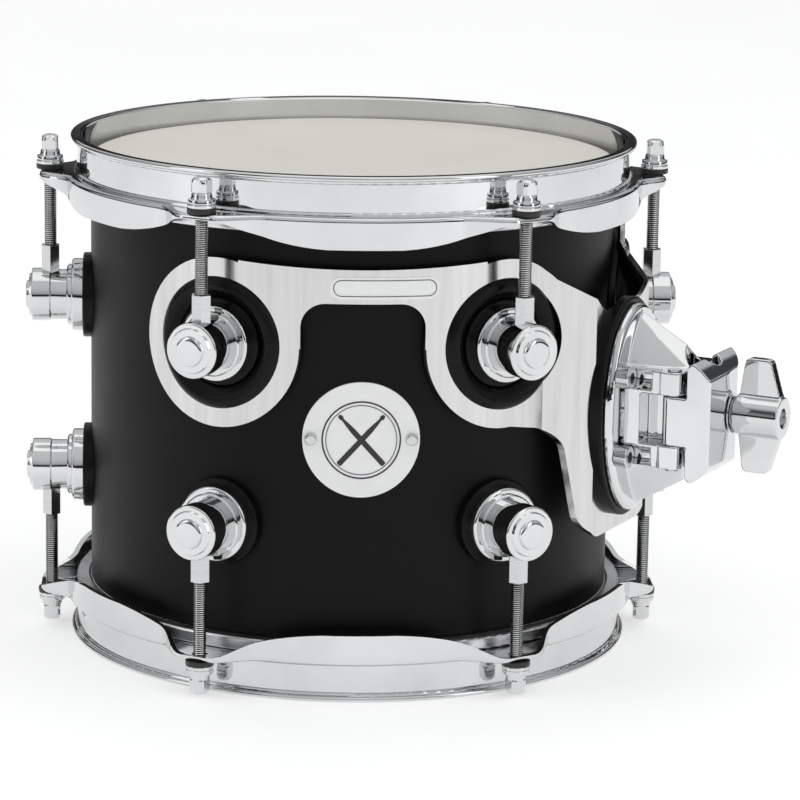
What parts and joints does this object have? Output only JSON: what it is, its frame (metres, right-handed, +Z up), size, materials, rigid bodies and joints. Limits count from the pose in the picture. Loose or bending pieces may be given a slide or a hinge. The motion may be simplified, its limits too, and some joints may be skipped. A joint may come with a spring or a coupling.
{
  "type": "rack tom drum",
  "caption": "Small suspended rack tom with a black wooden shell, flanged chrome hoops, turret lugs, rubber-mounted suspension plate and a hinged tom-arm clamp.",
  "frame": {"origin": "on the drum's axis, in the plane of the lower rim that the drum rests on", "axes": "+Z up along the drum's axis, -Y towards the badge, the clamp stands 60 degrees from -Y towards +X"},
  "size_m": [0.2872, 0.2238, 0.1946],
  "materials": {
    "shell_black": "matt black lacquer on maple",
    "head_film": "coated polyester film",
    "flesh_hoop": "rolled aluminium channel",
    "badge_face": "satin white enamel on metal",
    "label": "thin printed film",
    "rubber": "black moulded rubber",
    "nylon": "black nylon",
    "rod_steel": "plated steel, rolled thread",
    "bright_steel": "turned and plated steel",
    "screw_steel": "zinc-plated steel",
    "chrome": "polished chrome plate"
  },
  "bodies": {
    "drum": {"badge": "badge_face", "badge_screws": "screw_steel", "batter_flesh_hoop": "flesh_hoop", "batter_head": "head_film", "batter_hoop": "chrome", "batter_lug_1": "chrome", "batter_lug_2": "chrome", "batter_lug_3": "chrome", "batter_lug_4": "chrome", "batter_lug_5": "chrome", "batter_lug_6": "chrome", "batter_lug_gaskets": "rubber", "batter_lug_inserts": "bright_steel", "batter_lug_screws": "screw_steel", "batter_nylon_washers": "nylon", "batter_screw_washers": "screw_steel", "batter_steel_washers": "bright_steel", "blank_label": "label", "clamp_base": "chrome", "clamp_bolts": "screw_steel", "clamp_gasket": "rubber", "clamp_nuts": "screw_steel", "grommet_1": "rubber", "grommet_2": "rubber", "grommet_3": "rubber", "grommet_4": "rubber", "hinge_pin": "screw_steel", "resonant_flesh_hoop": "flesh_hoop", "resonant_head": "head_film", "resonant_hoop": "chrome", "resonant_lug_1": "chrome", "resonant_lug_2": "chrome", "resonant_lug_3": "chrome", "resonant_lug_4": "chrome", "resonant_lug_5": "chrome", "resonant_lug_6": "chrome", "resonant_lug_gaskets": "rubber", "resonant_lug_inserts": "bright_steel", "resonant_lug_screws": "screw_steel", "resonant_nylon_washers": "nylon", "resonant_screw_washers": "screw_steel", "resonant_steel_washers": "bright_steel", "shell": "shell_black", "suspension_plate": "chrome"},
    "batter_rod_1_body": {"batter_rod_1": "rod_steel"},
    "batter_rod_2_body": {"batter_rod_2": "rod_steel"},
    "batter_rod_3_body": {"batter_rod_3": "rod_steel"},
    "batter_rod_4_body": {"batter_rod_4": "rod_steel"},
    "batter_rod_5_body": {"batter_rod_5": "rod_steel"},
    "batter_rod_6_body": {"batter_rod_6": "rod_steel"},
    "resonant_rod_1_body": {"resonant_rod_1": "rod_steel"},
    "resonant_rod_2_body": {"resonant_rod_2": "rod_steel"},
    "resonant_rod_3_body": {"resonant_rod_3": "rod_steel"},
    "resonant_rod_4_body": {"resonant_rod_4": "rod_steel"},
    "resonant_rod_5_body": {"resonant_rod_5": "rod_steel"},
    "resonant_rod_6_body": {"resonant_rod_6": "rod_steel"},
    "jaw": {"clamp_jaw": "chrome"},
    "wing_screw": {"wing_handle": "chrome", "wing_stud": "rod_steel"}
  },
  "joints": [
    {"name": "batter_rod_1_turn", "type": "hinge", "parent": "drum", "child": "batter_rod_1_body", "pos_m": [-0.05818, 0.10077, 0.1], "axis": [0, 0, 1], "continuous": true},
    {"name": "batter_rod_2_turn", "type": "hinge", "parent": "drum", "child": "batter_rod_2_body", "pos_m": [-0.11636, 0, 0.1], "axis": [0, 0, 1], "continuous": true},
    {"name": "batter_rod_3_turn", "type": "hinge", "parent": "drum", "child": "batter_rod_3_body", "pos_m": [-0.05818, -0.10077, 0.1], "axis": [0, 0, 1], "continuous": true},
    {"name": "batter_rod_4_turn", "type": "hinge", "parent": "drum", "child": "batter_rod_4_body", "pos_m": [0.05818, -0.10077, 0.1], "axis": [0, 0, 1], "continuous": true},
    {"name": "batter_rod_5_turn", "type": "hinge", "parent": "drum", "child": "batter_rod_5_body", "pos_m": [0.11636, 0, 0.1], "axis": [0, 0, 1], "continuous": true},
    {"name": "batter_rod_6_turn", "type": "hinge", "parent": "drum", "child": "batter_rod_6_body", "pos_m": [0.05818, 0.10077, 0.1], "axis": [0, 0, 1], "continuous": true},
    {"name": "resonant_rod_1_turn", "type": "hinge", "parent": "drum", "child": "resonant_rod_1_body", "pos_m": [-0.05818, 0.10077, 0.1], "axis": [0, 0, 1], "continuous": true},
    {"name": "resonant_rod_2_turn", "type": "hinge", "parent": "drum", "child": "resonant_rod_2_body", "pos_m": [-0.11636, 0, 0.1], "axis": [0, 0, 1], "continuous": true},
    {"name": "resonant_rod_3_turn", "type": "hinge", "parent": "drum", "child": "resonant_rod_3_body", "pos_m": [-0.05818, -0.10077, 0.1], "axis": [0, 0, 1], "continuous": true},
    {"name": "resonant_rod_4_turn", "type": "hinge", "parent": "drum", "child": "resonant_rod_4_body", "pos_m": [0.05818, -0.10077, 0.1], "axis": [0, 0, 1], "continuous": true},
    {"name": "resonant_rod_5_turn", "type": "hinge", "parent": "drum", "child": "resonant_rod_5_body", "pos_m": [0.11636, 0, 0.1], "axis": [0, 0, 1], "continuous": true},
    {"name": "resonant_rod_6_turn", "type": "hinge", "parent": "drum", "child": "resonant_rod_6_body", "pos_m": [0.05818, 0.10077, 0.1], "axis": [0, 0, 1], "continuous": true},
    {"name": "jaw_swing", "type": "hinge", "parent": "drum", "child": "jaw", "pos_m": [0.11604, -0.08201, 0.101], "axis": [0, 0, -1], "range_deg": [0, 95]},
    {"name": "wing_screw_turn", "type": "hinge", "parent": "jaw", "child": "wing_screw", "pos_m": [0.14789, -0.07384, 0.101], "axis": [0.866, -0.5, 0], "continuous": true}
  ]
}
